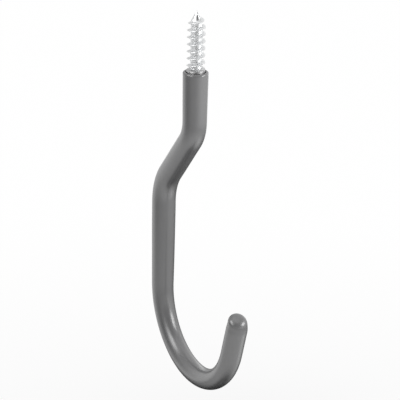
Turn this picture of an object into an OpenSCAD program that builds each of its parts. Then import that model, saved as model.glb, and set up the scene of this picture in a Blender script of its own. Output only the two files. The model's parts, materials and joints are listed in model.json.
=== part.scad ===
// Screw-in bike hook: a steel rod with a wood-screw point, bent to an offset
// stem and an open hook, and dipped in soft vinyl up to the thread.
// The screw axis is +Z and the coat's mouth, which stops against the timber,
// lies at z = 0. The rod is bent in the XZ plane and its tip points to +X.

/* [Screw] */
// Diameter of the steel rod
rod_d = 7.94; // [6.5:0.02:9]
// Bare steel from the coat's mouth to the screw's point
screw_len = 26.5; // [18:0.5:60]
// Plain shank above the mouth
shank_len = 0.8; // [0.5:0.1:8]
// Length of the shoulder that tapers from the shank to the core
shoulder_len = 0.9; // [0.6:0.1:3]
// Diameter over the crests of the thread
thread_d = 7.8; // [6.4:0.02:8.9]
// Diameter of the core between the turns of the thread
core_d = 4.8; // [3.6:0.1:5.4]
// Rise of the thread in one turn
pitch = 3.08; // [2.6:0.02:4]
// Direction round the axis, from +X, in which the thread starts
thread_angle = -30; // [-180:5:180]
// Angle between the two flanks of the thread
flank_angle = 52; // [40:1:60]
// Flat left along the thread's crest
crest_w = 0.2; // [0.1:0.05:0.4]
// Length of the conical point
point_len = 4.2; // [3:0.1:8]
// Length of the point that the thread still climbs
thread_on_point = 1.3; // [0.5:0.1:2.5]

/* [Bends] */
// Straight neck from the mouth to the first bend
neck_len = 22; // [12:0.5:60]
// Angle by which the rod leaves the screw axis and turns back
offset_angle = 40; // [15:1:60]
// Centre-line radius of the bend below the neck
upper_bend_r = 16; // [10:0.5:40]
// Straight slant between the two offset bends
slant_len = 26; // [5:0.5:60]
// Centre-line radius of the bend above the stem
lower_bend_r = 24.5; // [10:0.5:40]
// Straight stem above the hook
stem_len = 39.5; // [10:0.5:120]
// Centre-line radius of the hook
hook_r = 31.5; // [20:0.5:60]
// Angle that the hook turns through
hook_sweep = 164; // [120:1:190]
// Straight arm from the hook's arc to the coat's closed end
arm_len = 20.2; // [8:0.1:60]

/* [Coat] */
// Wall of the coat at its mouth
mouth_wall = 1.4; // [1.2:0.05:2.5]
// Wall of the coat over the offset bends
bend_wall = 1.2; // [0.6:0.05:2.5]
// Wall of the coat round the hook and the arm
hook_wall = 0.7; // [0.5:0.05:2.5]
// Thickness of the coat over the rod's end
end_wall = 2.2; // [1.8:0.1:4]
// Rounding of the mouth's outer rim
rim_fillet = 0.7; // [0.2:0.05:0.8]
// Rounding of the closed end
end_fillet = 2.4; // [1:0.1:3]
// Height of the closed end's crown
end_crown = 0.5; // [0.2:0.1:1]
// Width of the open ring between the shank and the mouth
mouth_gap = 0.35; // [0.1:0.05:0.4]
// Depth of that open ring
mouth_depth = 2; // [1:0.1:6]
// Clearance of the coat round the rod
coat_fit = 0.02; // [0.01:0.01:0.1]

/* [Hidden] */
$fn = 96;

// A bend is a hair fatter than the straight runs, which end a little inside it
bend_swell = 0.01;
lap = 0.1;

rod_r = rod_d / 2;
core_r = core_d / 2;
mouth_r = rod_r + mouth_wall;
bend_r = rod_r + bend_wall;
tip_r = rod_r + hook_wall;

// The rod from the mouth to the coat's end, as runs of [length, radius, turn]:
// a straight run has a length, a bend has a radius and a turn towards +X
runs = [
    [neck_len, 0, 0],
    [0, upper_bend_r, -offset_angle],
    [slant_len, 0, 0],
    [0, lower_bend_r, offset_angle],
    [stem_len, 0, 0],
    [0, hook_r, hook_sweep],
    [arm_len, 0, 0],
];
ARM = len(runs) - 1;
// Radius of the coat where each run starts
coat_radii = [mouth_r, bend_r, bend_r, bend_r, bend_r, tip_r, tip_r];

// Thread: a ridge that climbs out of the shoulder and dies away in its last turn, on the point
STEPS_PER_TURN = 36;
thread_r = thread_d / 2;
root_sink = 0.3;
flank_slope = tan(flank_angle / 2);
thread_base = shank_len / 2;
point_base = screw_len - point_len;
thread_n = floor(STEPS_PER_TURN * (point_base + thread_on_point - thread_base) / pitch);

// Place and heading [x, z, heading] at the start of run i, heading 0 being down
function pose(i) = i == 0 ? [0, 0, 0] : after(pose(i - 1), runs[i - 1]);
function after(p, run) =
    let (side = sign(run[2]) * run[1])
    let (heading = p[2] + run[2])
    [
        p[0] + run[0] * sin(p[2]) + side * (cos(p[2]) - cos(heading)),
        p[1] - run[0] * cos(p[2]) + side * (sin(p[2]) - sin(heading)),
        heading,
    ];

// Puts its children at the start of run i, with the run going down -Z
module at_run(i) {
    p = pose(i);
    translate([p[0], 0, p[1]]) rotate([0, -p[2], 0]) children();
}

// Run i of a round bar, with radius r0 at its start and r1 at its end
module bar_run(i, r0, r1) {
    length = runs[i][0];
    radius = runs[i][1];
    turn = runs[i][2];
    if (turn == 0) {
        at_run(i) translate([0, 0, -length - lap]) cylinder(h = length + 2 * lap, r1 = r1, r2 = r0);
    } else {
        at_run(i) translate([sign(turn) * radius, 0, 0]) rotate([90, 0, 0])
            rotate([0, 0, turn > 0 ? 180 : turn])
            rotate_extrude(angle = abs(turn)) translate([radius, 0]) circle(r0 + bend_swell);
    }
}

// Round bar that starts at r0, ends at r1 and has its end's rim rounded
module rounded_bar(h, r0, r1, fillet) {
    rotate_extrude() {
        polygon([[0, 0], [r0, 0], [r1, h - fillet], [r1 - fillet, h], [0, h]]);
        translate([r1 - fillet, h - fillet]) intersection() {
            circle(fillet);
            square(fillet);
        }
    }
}

// Cap of a sphere, this high over a flat of radius r
module crown(r, height) {
    ball_r = (r * r + height * height) / (2 * height);
    rotate_extrude() translate([0, height - ball_r]) intersection() {
        circle(ball_r);
        translate([0, ball_r - height - lap]) square([r, height + lap]);
    }
}

// The bent rod from the mouth to its end inside the coat
module bent_rod(r, arm) {
    translate([0, 0, -neck_len - lap]) cylinder(h = neck_len + lap, r = r);
    for (i = [1:ARM - 1]) {
        bar_run(i, r, r);
    }
    at_run(ARM) translate([0, 0, -arm]) cylinder(h = arm + lap, r = r);
}

// Radius of the core at height z, which falls to nothing on the point
function core_at(z) = core_r * min(1, (screw_len - z) / point_len);

// Ridge of the thread at step i: its lower root, the two edges of its crest, its upper root
function ridge_share(i) = min(1, sqrt((thread_n - i) / STEPS_PER_TURN));
function ridge_section(i) =
    let (turn = thread_angle + 360 * i / STEPS_PER_TURN)
    let (z = thread_base + pitch * i / STEPS_PER_TURN)
    let (crest = core_at(z) + (thread_r - core_at(z)) * ridge_share(i))
    let (root = core_at(z + (crest - core_at(z)) * flank_slope) - root_sink)
    let (half = crest_w / 2 + (crest - root) * flank_slope)
    [
        for (corner = [[root, -half], [crest, -crest_w / 2], [crest, crest_w / 2], [root, half]])
            [corner[0] * cos(turn), corner[0] * sin(turn), z + corner[1]]
    ];

module thread_ridge() {
    points = [for (i = [0:thread_n]) each ridge_section(i)];
    sides = [
        for (i = [0:thread_n - 1], k = [0:3])
            let (a = 4 * i + k)
            let (b = 4 * i + (k + 1) % 4)
            each [[a, b, b + 4], [a, b + 4, a + 4]]
    ];
    last = 4 * thread_n;
    ends = [[3, 2, 1, 0], [last, last + 1, last + 2, last + 3]];
    polyhedron(points, concat(sides, ends), convexity = 10);
}

module screw() {
    cylinder(h = shank_len, r = rod_r);
    translate([0, 0, shank_len]) cylinder(h = shoulder_len, r1 = rod_r, r2 = core_r);
    cylinder(h = point_base, r = core_r);
    translate([0, 0, point_base]) cylinder(h = point_len, r1 = core_r, r2 = 0);
    thread_ridge();
}

module steel_rod() {
    color("gainsboro") {
        screw();
        bent_rod(rod_r, arm_len - end_wall);
    }
}

module vinyl_coat() {
    color("dimgray") difference() {
        union() {
            translate([0, 0, -neck_len - lap])
                rounded_bar(neck_len + lap, bend_r, mouth_r, rim_fillet);
            for (i = [1:ARM - 1]) {
                bar_run(i, coat_radii[i], coat_radii[i + 1]);
            }
            at_run(ARM) mirror([0, 0, 1]) {
                translate([0, 0, -lap])
                    rounded_bar(arm_len - end_crown + lap, tip_r, tip_r, end_fillet);
                translate([0, 0, arm_len - end_crown]) crown(tip_r - end_fillet, end_crown);
            }
        }
        bent_rod(rod_r + coat_fit, arm_len - end_wall + coat_fit);
        translate([0, 0, -mouth_depth]) cylinder(h = 2 * mouth_depth, r = rod_r + mouth_gap);
    }
}

steel_rod();
vinyl_coat();
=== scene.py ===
import json
import math

import bmesh
import bpy
from mathutils import Matrix, Vector


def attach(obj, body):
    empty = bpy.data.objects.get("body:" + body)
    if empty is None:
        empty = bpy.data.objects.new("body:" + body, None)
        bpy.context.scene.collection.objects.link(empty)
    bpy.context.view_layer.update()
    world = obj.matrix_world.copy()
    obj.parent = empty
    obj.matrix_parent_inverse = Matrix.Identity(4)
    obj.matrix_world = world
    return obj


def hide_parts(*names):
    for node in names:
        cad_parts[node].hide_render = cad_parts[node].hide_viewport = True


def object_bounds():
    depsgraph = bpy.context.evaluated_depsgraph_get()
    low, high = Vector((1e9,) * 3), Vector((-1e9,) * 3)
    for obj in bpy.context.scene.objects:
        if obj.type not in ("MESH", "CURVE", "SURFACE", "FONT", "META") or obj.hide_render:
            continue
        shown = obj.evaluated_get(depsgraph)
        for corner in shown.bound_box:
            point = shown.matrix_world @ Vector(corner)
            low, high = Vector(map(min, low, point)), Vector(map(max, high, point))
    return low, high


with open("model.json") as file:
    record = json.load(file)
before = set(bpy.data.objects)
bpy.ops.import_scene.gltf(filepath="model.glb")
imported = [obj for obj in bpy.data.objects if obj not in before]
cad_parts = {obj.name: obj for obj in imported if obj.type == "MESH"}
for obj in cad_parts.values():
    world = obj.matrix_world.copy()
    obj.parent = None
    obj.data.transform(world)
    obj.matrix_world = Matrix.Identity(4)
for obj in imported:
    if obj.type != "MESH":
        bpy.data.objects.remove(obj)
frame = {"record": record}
cad_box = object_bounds()


# The rod is one length of round steel, plated with bright zinc. A wood-screw thread is
# rolled on its upper end and runs out on a turned point. Below the screw it is bent cold
# into an offset stem and an open hook, and the coat hides it from there on.
MM = 0.001
ACROSS = Vector((0.0, 1.0, 0.0))
COLUMNS = 96

# Sizes in millimetres. Each run of the centre line, from the coat's mouth to the coat's
# closed end, is a straight length or a bend of this radius and turn in degrees.
hook_runs = (
    (22.0, 0.0, 0.0),
    (0.0, 16.0, -40.0),
    (26.0, 0.0, 0.0),
    (0.0, 24.5, 40.0),
    (39.5, 0.0, 0.0),
    (0.0, 31.5, 164.0),
    (19.8, 0.0, 0.0),
)
NECK, STEM = 0, 4
wood_screw = next(m for m in frame["record"]["mounts"] if m["name"] == "wood_screw")
screw_length = wood_screw["dims"]["length_mm"]
rod_radius = 3.97
crest_radius = rod_radius
core_radius = 2.4
pitch = 3.08
crest_height_on_x = 0.65
half_flank = math.radians(26.0)
crest_round, root_round = 0.09, 0.16
shank_length, shoulder_length = 0.8, 0.9
point_length, point_radius = 4.2, 0.1
# Above the first of these heights the crests lose this much radius per millimetre. At the
# second height the thread ends, and it fades out over the stretch below.
narrow_from, narrow_by = 19.2, 0.17
thread_end, thread_fade = 23.6, 1.1
end_cover, end_chamfer = 2.2, 1.2
ring_gap = 1.0


def run_length(run):
    """Length of a run along the centre line."""
    straight, radius, turn = run
    return straight + radius * math.radians(abs(turn))


def place_on_hook(travel):
    """Centre of the bent rod this far below the mouth, and the side that faces +X there."""
    x, z, heading = 0.0, 0.0, 0.0
    for run in hook_runs:
        straight, radius, turn = run
        share = min(travel / run_length(run), 1.0)
        bend = math.copysign(radius, turn)
        after = heading + math.radians(turn) * share
        x += straight * share * math.sin(heading) + bend * (math.cos(heading) - math.cos(after))
        z += bend * (math.sin(heading) - math.sin(after)) - straight * share * math.cos(heading)
        heading = after
        travel -= share * run_length(run)
        if travel <= 0:
            break
    return Vector((x, 0.0, z)), Vector((math.cos(heading), 0.0, math.sin(heading)))


def spaced(start, end, count):
    """This many values from start up to, but not including, end."""
    return [start + (end - start) * i / count for i in range(count)]


def eased(share):
    """A share, held between 0 and 1, with a soft start and a soft end."""
    share = min(max(share, 0.0), 1.0)
    return share * share * (3 - 2 * share)


def swept_skin(chain, swell=None):
    """Vertices, faces and unbent places of rings (travel, radius) along the hook."""
    vertices, faces, unbent = [], [], []
    last = []
    for travel, radius in chain:
        centre, side = place_on_hook(travel)
        ring = []
        for column in range(COLUMNS if radius else 1):
            angle = 2 * math.pi * column / COLUMNS
            spot = Vector((radius * math.cos(angle), radius * math.sin(angle), -travel))
            if swell:
                spot += swell(travel, radius, angle)
            ring.append(len(vertices))
            lift = (spot.z + travel) * side.cross(ACROSS)
            vertices.append(centre + spot.x * side + spot.y * ACROSS + lift)
            unbent.append(spot)
        for i in range(COLUMNS if last else 0):
            j = (i + 1) % COLUMNS
            corners = [last[i % len(last)], last[j % len(last)]]
            corners += [ring[j % len(ring)], ring[i % len(ring)]]
            faces.append(list(dict.fromkeys(corners)))
        last = ring
    return vertices, faces, unbent


def core_at(height):
    """Radius of the screw without its thread: the shank, its shoulder, the core and the point."""
    lead = min((screw_length - height) / point_length, 1.0)
    core = point_radius + (core_radius - point_radius) * lead
    return core + (rod_radius - core) * (1 - eased((height - shank_length) / shoulder_length))


def screw_radius(angle, height):
    """Radius of the screw with the thread's ridge, which narrows and dies away on the point."""
    turns = (height - crest_height_on_x) / pitch - angle / (2 * math.pi)
    off_crest = (turns - round(turns)) * pitch
    crest_height = height - off_crest
    crest = crest_radius - narrow_by * max(crest_height - narrow_from, 0.0)
    left = min(max((thread_end - crest_height) / thread_fade, 0.0), 1.0)
    crest -= (crest - core_at(min(crest_height, screw_length))) * (1 - math.sqrt(left))
    ridge = crest - (math.hypot(off_crest, crest_round) - crest_round) / math.tan(half_flank)
    body = core_at(height)
    soft = max(root_round - abs(body - ridge), 0.0)
    return min(max(body, ridge) + soft * soft / (4 * root_round), rod_radius)


hook_length = sum(run_length(run) for run in hook_runs)
rod_end = hook_length - end_cover
rod_rings = spaced(rod_end - end_chamfer, -shank_length, math.ceil(hook_length / ring_gap))
rod_chain = [(rod_end, 0.0), (rod_end, rod_radius - end_chamfer)]
rod_chain += [(travel, rod_radius) for travel in rod_rings + [-shank_length]]
rod_vertices, rod_faces, rod_unbent = swept_skin(rod_chain)

# The screw's grid follows the helix: its rows climb one pitch in a turn, closer together
# on the flanks, and stop at the shank below and at the point above.
root_rows, flank_rows, crest_rows = 4, 8, 4
flank_share = (crest_radius - core_radius) * math.tan(half_flank) / pitch
crest_share = crest_round / pitch
row_steps = (
    spaced(-0.5, -flank_share, root_rows)
    + spaced(-flank_share, -crest_share, flank_rows)
    + spaced(-crest_share, crest_share, crest_rows)
    + spaced(crest_share, flank_share, flank_rows)
    + spaced(flank_share, 0.5, root_rows)
)
shank_ring = list(range(len(rod_vertices) - COLUMNS, len(rod_vertices)))
screw_grid = {}


def screw_corner(column, row):
    """Index of the vertex in this column and row, made when it is first asked for."""
    row += column // COLUMNS * len(row_steps)
    column %= COLUMNS
    turn, step = divmod(row, len(row_steps))
    height = crest_height_on_x + pitch * (turn + row_steps[step] + column / COLUMNS)
    if height <= shank_length:
        return shank_ring[column]
    key = (column, row)
    if height >= screw_length:
        height = screw_length
        key = (column, "point")
    if key not in screw_grid:
        angle = 2 * math.pi * column / COLUMNS
        radius = screw_radius(angle, height)
        spot = Vector((radius * math.cos(angle), radius * math.sin(angle), height))
        screw_grid[key] = len(rod_vertices)
        rod_vertices.append(spot)
        rod_unbent.append(spot)
    return screw_grid[key]


spare_turns = 2
lowest_row = -spare_turns * len(row_steps)
highest_row = math.ceil(screw_length / pitch + spare_turns) * len(row_steps)
for column in range(COLUMNS):
    for row in range(lowest_row, highest_row):
        around = ((column, row), (column + 1, row), (column + 1, row + 1), (column, row + 1))
        corners = list(dict.fromkeys(screw_corner(*place) for place in around))
        if len(corners) > 2:
            rod_faces.append(corners)
rod_faces.append([screw_grid[(column, "point")] for column in range(COLUMNS)])


def solid_piece(name, vertices, faces, unbent):
    """A closed mesh in metres, smooth but for its true edges, that keeps its unbent places."""
    true_edge = math.radians(40.0)
    mesh = bpy.data.meshes.new(name)
    mesh.from_pydata([vertex * MM for vertex in vertices], [], faces)
    outward = bmesh.new()
    outward.from_mesh(mesh)
    bmesh.ops.recalc_face_normals(outward, faces=outward.faces)
    outward.to_mesh(mesh)
    outward.free()
    mesh.shade_smooth()
    mesh.set_sharp_from_angle(angle=true_edge)
    place = mesh.attributes.new("unbent", "FLOAT_VECTOR", "POINT")
    place.data.foreach_set("vector", [number for point in unbent for number in point])
    piece = bpy.data.objects.new(name, mesh)
    bpy.context.scene.collection.objects.link(piece)
    return piece


class Wire:
    """A node's output socket, which sums and products of shader values are written with."""

    def __init__(self, tree, socket=None):
        self.tree = tree
        self.socket = socket

    def node(self, kind, settings, sockets, output=0):
        """Adds a node, sets it up, fills its sockets with values or links, and wraps an output."""
        made = self.tree.nodes.new(kind)
        for name, value in settings.items():
            setattr(made, name, value)
        for name, value in sockets.items():
            if isinstance(value, Wire):
                feed(made.inputs[name], value)
            else:
                made.inputs[name].default_value = value
        return Wire(self.tree, made.outputs[output] if made.outputs else None)

    def maths(self, operation, first, second):
        return self.node("ShaderNodeMath", {"operation": operation}, {0: first, 1: second})

    def __add__(self, other):
        return self.maths("ADD", self, other)

    def __sub__(self, other):
        return self.maths("SUBTRACT", self, other)

    def __rsub__(self, other):
        return self.maths("SUBTRACT", other, self)

    def __mul__(self, other):
        return self.maths("MULTIPLY", self, other)

    __radd__ = __add__
    __rmul__ = __mul__


def feed(socket, wire):
    """Links a wire to a node's input socket."""
    wire.tree.links.new(wire.socket, socket)


def new_finish(name):
    """A new material, its tree to add nodes to, and its shader."""
    material = bpy.data.materials.new(name)
    material.use_nodes = True
    tree = material.node_tree
    return material, Wire(tree), tree.nodes["Principled BSDF"]


def unbent_place(tree):
    """Place on the unbent piece, in millimetres."""
    return tree.node("ShaderNodeAttribute", {"attribute_name": "unbent"}, {}, "Vector")


def stretched(place, factors):
    """A place with each of its axes multiplied."""
    return place.node("ShaderNodeVectorMath", {"operation": "MULTIPLY"}, {0: place, 1: factors})


def noise(place, scale, detail):
    """Soft noise about 0.5."""
    return place.node("ShaderNodeTexNoise", {}, {"Vector": place, "Scale": scale, "Detail": detail})


def soft_range(value, start, end):
    """0 to 1 while the value goes from start to end, with a soft start and a soft end."""
    settings = {"interpolation_type": "SMOOTHSTEP"}
    sockets = {"Value": value, "From Min": start, "From Max": end}
    return value.node("ShaderNodeMapRange", settings, sockets)


def blend(share, start, end):
    """A colour between two colours: a Mix node's sockets 6 and 7, and its output 2, are colours."""
    return share.node("ShaderNodeMix", {"data_type": "RGBA"}, {0: share, 6: start, 7: end}, 2)


# The crests are smoother than the roots and painted lighter, the roots painted darker as shade,
# the point is turned smooth, and the plate is painted darker beside the coat's mouth as the
# collar's shade.
zinc, tree, shader = new_finish("bright_zinc_plate")
place = unbent_place(tree)
flat = stretched(place, (1.0, 1.0, 0.0))
from_axis = tree.node("ShaderNodeVectorMath", {"operation": "LENGTH"}, {0: flat}, "Value")
height = tree.node("ShaderNodeSeparateXYZ", {}, {"Vector": place}, "Z")
on_crest = soft_range(from_axis, core_radius, crest_radius)
cloud = noise(place, 0.9, 4.0)
grain = noise(place, 7.0, 3.0)
rolled = noise(stretched(place, (1.2, 1.2, 14.0)), 1.0, 2.0)
# Painted light and shade: the crests are made lighter and the thread's roots darker, mixed with a
# random cloud of tone.
crest_light_and_cloud = on_crest * 0.7 + cloud * 0.3
crest_lit_zinc = blend(crest_light_and_cloud, (0.74, 0.75, 0.755, 1.0), (0.86, 0.865, 0.87, 1.0))
# Painted shade: the plate is made dark grey beside the coat's mouth, where the collar shades it.
mouth_shade = soft_range(height + cloud, 2.6, 1.2)
zinc_colour = blend(mouth_shade, crest_lit_zinc, (0.45, 0.45, 0.45, 1.0))
point_start = screw_length - point_length
turned = soft_range(height, point_start, point_start + 0.4 * point_length)
zinc_roughness = 0.5 - on_crest * 0.14 - turned * 0.25 + (grain - 0.5) * 0.12
zinc_relief = {"Strength": 0.25, "Distance": 0.02 * MM, "Height": rolled * 0.7 + grain * 0.3}
feed(shader.inputs["Base Color"], zinc_colour)
feed(shader.inputs["Roughness"], zinc_roughness)
feed(shader.inputs["Normal"], tree.node("ShaderNodeBump", {}, zinc_relief))
shader.inputs["Metallic"].default_value = 1.0

rod = solid_piece("threaded_rod", rod_vertices, rod_faces, rod_unbent)
rod.data.materials.append(zinc)
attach(rod, "root")
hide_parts("steel_rod")


# The coat is soft grey vinyl that the bent rod was dipped in: thickest at the mouth, where
# it stops below the thread with a rounded rim, thinner round the hook, and closed over the
# rod's end. At the mouth it stands a little off the steel.
mouth_radius, bend_radius, hook_radius = 5.5, 5.25, 4.62
coat_fit = 0.02
bore_radius = rod_radius + coat_fit
bore_end = rod_end + coat_fit
mouth_gap, mouth_depth = 0.35, 2.0
mouth_bore = rod_radius + mouth_gap
rim_round, lip_round = 0.7, 0.15
rim_steps, lip_steps, end_steps = 8, 4, 16
bore_gap, skin_gap = 2.0, 0.8
neck_end = run_length(hook_runs[NECK])
stem_start = sum(run_length(run) for run in hook_runs[:STEM])
thins_into_hook = 30.0
thinning = run_length(hook_runs[STEM]) + thins_into_hook
# The dip's unevenness: how far it stands in or out, and its wave lengths.
ripple, ripple_length = 0.012, 4.1
bulge, bulge_lengths = 0.01, (9.3, 6.7)
# The closed end: a cap this high, between round (2) and square in its fullness, on a last
# stretch that tapers, leans towards one side and sags towards another.
end_height, end_fullness = 3.0, 3.0
end_reach, end_taper = 6.0, 0.15
end_lean, lean_side = math.tan(math.radians(12.0)), math.radians(30.0)
end_sag, sag_side = 0.8, math.radians(-60.0)


def near_end(travel):
    """How much of the coat's last stretch lies behind, from 0 to 1."""
    return min(max(1 + (travel - hook_length) / end_reach, 0.0), 1.0)


def coat_radius(travel):
    """Outer radius of the coat, which tapers down the neck, into the hook and to its end."""
    if travel < stem_start:
        return mouth_radius + (bend_radius - mouth_radius) * min(travel / neck_end, 1.0)
    thinned = bend_radius + (hook_radius - bend_radius) * eased((travel - stem_start) / thinning)
    return thinned * (1 - end_taper * near_end(travel))


def dip_swell(travel, radius, angle):
    """Shift of a spot on the coat's outside: its unevenness, and the sag and lean of its end."""
    bore = mouth_bore if travel <= mouth_depth else bore_radius
    inside = radius <= bore and travel <= bore_end
    if inside or travel < 2 * rim_round:
        return Vector((0.0, 0.0, 0.0))
    slow = math.sin(travel / ripple_length + 2 * math.cos(angle))
    round_about = math.sin(2 * angle + travel / bulge_lengths[0])
    round_about += 0.6 * math.sin(3 * angle - travel / bulge_lengths[1])
    grown = ripple * slow + bulge * round_about
    sag = end_sag * near_end(travel) ** 2
    lean = near_end(travel) * end_lean * radius * math.cos(angle - lean_side)
    return Vector((
        grown * math.cos(angle) + sag * math.cos(sag_side),
        grown * math.sin(angle) + sag * math.sin(sag_side),
        -lean,
    ))


def quarter(count):
    """Angles over a quarter circle, both ends included."""
    return [math.pi / 2 * i / count for i in range(count + 1)]


bore_rings = spaced(bore_end - end_chamfer, mouth_depth, math.ceil(hook_length / bore_gap))
skin_rings = spaced(rim_round, hook_length - end_height, math.ceil(hook_length / skin_gap))
coat_chain = [(bore_end, 0.0), (bore_end, bore_radius - end_chamfer)]
coat_chain += [(travel, bore_radius) for travel in bore_rings + [mouth_depth]]
coat_chain += [(mouth_depth, mouth_bore)]
for t in quarter(lip_steps):
    coat_chain += [(lip_round * (1 - math.sin(t)), mouth_bore + lip_round * (1 - math.cos(t)))]
for t in quarter(rim_steps):
    coat_chain += [(rim_round * (1 - math.cos(t)), mouth_radius - rim_round * (1 - math.sin(t)))]
coat_chain += [(travel, coat_radius(travel)) for travel in skin_rings[1:]]
for t in quarter(end_steps)[:-1]:
    travel = hook_length - end_height * (1 - math.sin(t) ** (2 / end_fullness))
    coat_chain += [(travel, coat_radius(travel) * math.cos(t) ** (2 / end_fullness))]
coat_chain += [(hook_length, 0.0)]

# The vinyl has slow flow marks along the rod and a faint orange peel.
vinyl, tree, shader = new_finish("grey_dipped_vinyl")
place = unbent_place(tree)
flow = noise(stretched(place, (1.0, 1.0, 0.16)), 0.55, 4.0)
cloud = noise(place, 0.22, 3.0)
peel = noise(place, 1.9, 2.0)
speck = noise(place, 9.0, 2.0)
vinyl_colour = blend(cloud * 0.6 + flow * 0.4, (0.14, 0.14, 0.142, 1.0), (0.16, 0.16, 0.162, 1.0))
vinyl_roughness = 0.23 + (flow - 0.5) * 0.10 + (speck - 0.5) * 0.05
vinyl_relief = {"Strength": 0.25, "Distance": 0.03 * MM, "Height": peel * 0.75 + speck * 0.25}
feed(shader.inputs["Base Color"], vinyl_colour)
feed(shader.inputs["Roughness"], vinyl_roughness)
feed(shader.inputs["Normal"], tree.node("ShaderNodeBump", {}, vinyl_relief))
shader.inputs["Specular IOR Level"].default_value = 1.0

coat = solid_piece("dipped_coat", *swept_skin(coat_chain, dip_swell))
coat.data.materials.append(vinyl)
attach(coat, "root")
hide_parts("vinyl_coat")


# The camera looks down on the hook from its open side, a little past the tip, with a long
# lens. It stands this far from the mouth's middle, and aims this far beside and below it.
# The view was fitted to the hook's outline in the photo.
bearing = math.radians(60.1136)
elevation = math.radians(21.8049)
roll = math.radians(-1.19554)
lens_mm, sensor_mm = 180.0, 36.0
aim_right, aim_up, distance = 2.92, -53.87, 839.762
to_right = Vector((math.cos(bearing), math.sin(bearing), 0.0))
to_eye = Vector((math.sin(bearing), -math.cos(bearing), 0.0))
to_sky = Vector((0.0, 0.0, 1.0))
back = to_eye * math.cos(elevation) + to_sky * math.sin(elevation)
up = back.cross(to_right)
camera = bpy.data.objects.new("camera", bpy.data.cameras.new("camera"))
camera.data.lens = lens_mm
camera.data.sensor_width = sensor_mm
axes = Matrix((
    to_right * math.cos(roll) - up * math.sin(roll),
    to_right * math.sin(roll) + up * math.cos(roll),
    back,
))
stand = (to_right * aim_right + up * aim_up + back * distance) * MM
camera.matrix_world = Matrix.Translation(stand) @ axes.transposed().to_4x4()
bpy.context.scene.collection.objects.link(camera)
bpy.context.scene.camera = camera


# The set: a wide pale floor well below the hook, a soft lamp on the right, and a light tent
# that only gloss and metal mirror, with bright and dark patches on its walls. Its sizes are
# in metres, and its bearings in degrees from the camera's own, to the right.
middle = (cad_box[0] + cad_box[1]) / 2
floor_drop, floor_reach = 0.11, 4.0
floor_height = cad_box[0].z - floor_drop
bpy.context.scene.view_settings.view_transform = "Standard"


def way_to(bearing_off):
    """Level direction at this bearing from the camera's own."""
    side = math.radians(bearing_off)
    return to_right * math.sin(side) + to_eye * math.cos(side)


# The lamp is square, faces the coat's mouth and is not itself seen.
lamp_bearing, lamp_lift = 75.0, math.radians(15.0)
lamp_reach, lamp_size, lamp_watts = 0.3, 0.15, 0.08
lamp = bpy.data.lights.new("right_softbox", "AREA")
lamp.size = lamp_size
lamp.spread = math.radians(60.0)
lamp.energy = lamp_watts
lamp_way = way_to(lamp_bearing) * math.cos(lamp_lift) + to_sky * math.sin(lamp_lift)
lamp_turn = lamp_way.to_track_quat("Z", "Y").to_matrix().to_4x4()
lamp_holder = bpy.data.objects.new("right_softbox", lamp)
lamp_holder.matrix_world = Matrix.Translation(lamp_way * lamp_reach) @ lamp_turn
lamp_holder.visible_camera = False
lamp_holder.visible_glossy = False
bpy.context.scene.collection.objects.link(lamp_holder)


def set_sheet(name, vertices, faces, material):
    """A sheet of the set, which is no part of the hook."""
    mesh = bpy.data.meshes.new(name)
    mesh.from_pydata(vertices, [], faces)
    mesh.materials.append(material)
    sheet = bpy.data.objects.new(name, mesh)
    bpy.context.scene.collection.objects.link(sheet)
    return sheet


def square(height, reach):
    """Corners of a level square round the hook's middle."""
    signs = ((-1, -1), (1, -1), (1, 1), (-1, 1))
    return [(middle.x + reach * i, middle.y + reach * j, height) for i, j in signs]


def seen_directly(tree):
    """One for rays from the camera, from gloss or through glass, nothing for the rest."""
    path = tree.node("ShaderNodeLightPath", {}, {}, "Is Camera Ray")
    kinds = path.socket.node.outputs
    for kind in ("Is Glossy Ray", "Is Transmission Ray"):
        path = tree.maths("MAXIMUM", path, Wire(tree.tree, kinds[kind]))
    return path


# The floor is white to the eye, a little less so under the hook, and keeps the shadow.
paper, tree, shader = new_finish("white_floor")
white = tree.node("ShaderNodeEmission", {}, {"Color": (1.0, 1.0, 1.0, 1.0), "Strength": 1.0})
matt = tree.node("ShaderNodeBsdfDiffuse", {}, {"Color": (0.8, 0.8, 0.8, 1.0)})
here = tree.node("ShaderNodeNewGeometry", {}, {}, "Position")
apart = {0: here, 1: (middle.x, middle.y, floor_height)}
from_hook = tree.node("ShaderNodeVectorMath", {"operation": "DISTANCE"}, apart, "Value")
white_near, white_far = 0.85, 0.99
white_share = white_near + soft_range(from_hook, 0.1, 0.5) * (white_far - white_near)
floor_look = {0: seen_directly(tree) * white_share, 1: matt, 2: white}
mixed = tree.node("ShaderNodeMixShader", {}, floor_look)
feed(tree.tree.nodes["Material Output"].inputs["Surface"], mixed)
set_sheet("floor", square(floor_height, floor_reach), [(0, 1, 2, 3)], paper)

# A black card close below the hook keeps the floor's light off its underside.
card_drop, card_reach = 0.05, 0.15
black, tree, shader = new_finish("black_card")
shader.inputs["Base Color"].default_value = (0.01, 0.01, 0.01, 1.0)
shader.inputs["Specular IOR Level"].default_value = 0.0
card = set_sheet("under_flag", square(cad_box[0].z - card_drop, card_reach), [(0, 1, 2, 3)], black)
card.visible_camera = False
card.visible_glossy = False
card.visible_shadow = False
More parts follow.
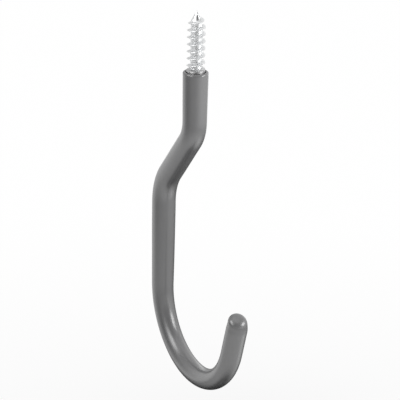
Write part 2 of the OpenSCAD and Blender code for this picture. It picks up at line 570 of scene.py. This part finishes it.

# The tent's profile runs from the middle of its floor, where the rise is below zero, up its
# wall to the middle of its roof. Each patch has a bearing and a rise, half-widths in degrees
# and metres, an edge that is soft (2) or crisp (4), and a level. The patches began as a fit
# to the photo's greys, and were then rounded, mostly changed and partly added.
tent_radius, tent_height = 0.3, 0.7
tent_columns, tent_rows = 72, 104
tent_gap = 0.001
tent_base = 0.2
tent_patches = (
    (20.0, -0.15, 160.0, 0.2, 2, 1.4),  # pale floor
    (90.0, -0.13, 18.0, 0.05, 2, 2.0),  # floor by the right softbox
    (50.0, 0.14, 75.0, 0.065, 2, 1.45),  # long strip on the right
    (140.0, 0.27, 45.0, 0.14, 2, 1.4),  # white wall, right rear
    (-120.0, 0.1, 40.0, 0.3, 2, 1.3),  # white wall, left rear
    (-75.0, 0.15, 30.0, 0.1, 2, 0.0),  # gap in the left wall
    (165.0, 0.55, 70.0, 0.2, 2, 1.1),  # backdrop
    (0.0, 1.0, 400.0, 0.25, 2, 1.3),  # roof
    (-55.0, 0.5, 25.0, 0.22, 4, 5.0),  # left softbox
    (75.0, 0.33, 18.0, 0.1, 4, 7.0),  # right softbox
    (5.0, 0.5, 30.0, 0.38, 2, 0.0),  # dark room behind the camera
    (155.0, 0.0, 35.0, 0.15, 2, 0.0),  # foot of the rear wall
    (175.0, 0.16, 25.0, 0.05, 2, 1.8),  # rear strip
    (-175.0, -0.2, 65.0, 0.12, 4, 0.0),  # dark floor at the rear
    (0.0, -0.275, 600.0, 0.035, 2, 0.0),  # dark floor under the hook
)


def tent_level(bearing_off, rise):
    """Brightness of the tent here, where each patch covers those before it."""
    level = tent_base
    for centre, height, half_width, half_height, edge, patch in tent_patches:
        turn = (bearing_off - centre + 180.0) % 360.0 - 180.0
        off = abs(turn / half_width) ** edge + abs((rise - height) / half_height) ** edge
        level += (patch - level) * math.exp(-off)
    return level


tent_vertices, tent_faces, tent_glow = [], [], []
for row in range(tent_rows + 1):
    rise = -tent_radius + (tent_height + 2 * tent_radius) * row / tent_rows
    out = min(tent_radius + rise, tent_radius, tent_radius + tent_height - rise)
    height = floor_height + tent_gap + min(max(rise, 0.0), tent_height)
    low, high = (row - 1) * tent_columns, row * tent_columns
    for column in range(tent_columns):
        bearing_off = 360.0 * column / tent_columns - 180.0
        spot = way_to(bearing_off) * out
        tent_vertices.append((middle.x + spot.x, middle.y + spot.y, height))
        tent_glow.append(tent_level(bearing_off, rise))
        if row:
            last = (column - 1) % tent_columns
            tent_faces.append((low + last, low + column, high + column, high + last))
cloth, tree, shader = new_finish("tent_cloth")
feed(
    shader.inputs["Emission Color"],
    tree.node("ShaderNodeAttribute", {"attribute_name": "glow"}, {}, "Fac"),
)
shader.inputs["Emission Strength"].default_value = 1.0
shader.inputs["Base Color"].default_value = (0.0, 0.0, 0.0, 1.0)
shader.inputs["Specular IOR Level"].default_value = 0.0
tent = set_sheet("light_tent", tent_vertices, tent_faces, cloth)
tent.data.attributes.new("glow", "FLOAT", "POINT").data.foreach_set("value", tent_glow)
tent.visible_camera = False
tent.visible_diffuse = False
tent.visible_shadow = False

# The surround lights everything evenly, and is white where it is seen.
ambient = 0.9
surround = bpy.data.worlds.new("white_surround")
surround.use_nodes = True
sky = surround.node_tree.nodes["Background"]
sky.inputs["Color"].default_value = (1.0, 1.0, 1.0, 1.0)
feed(sky.inputs["Strength"], ambient + seen_directly(Wire(surround.node_tree)) * (1.0 - ambient))
bpy.context.scene.world = surround
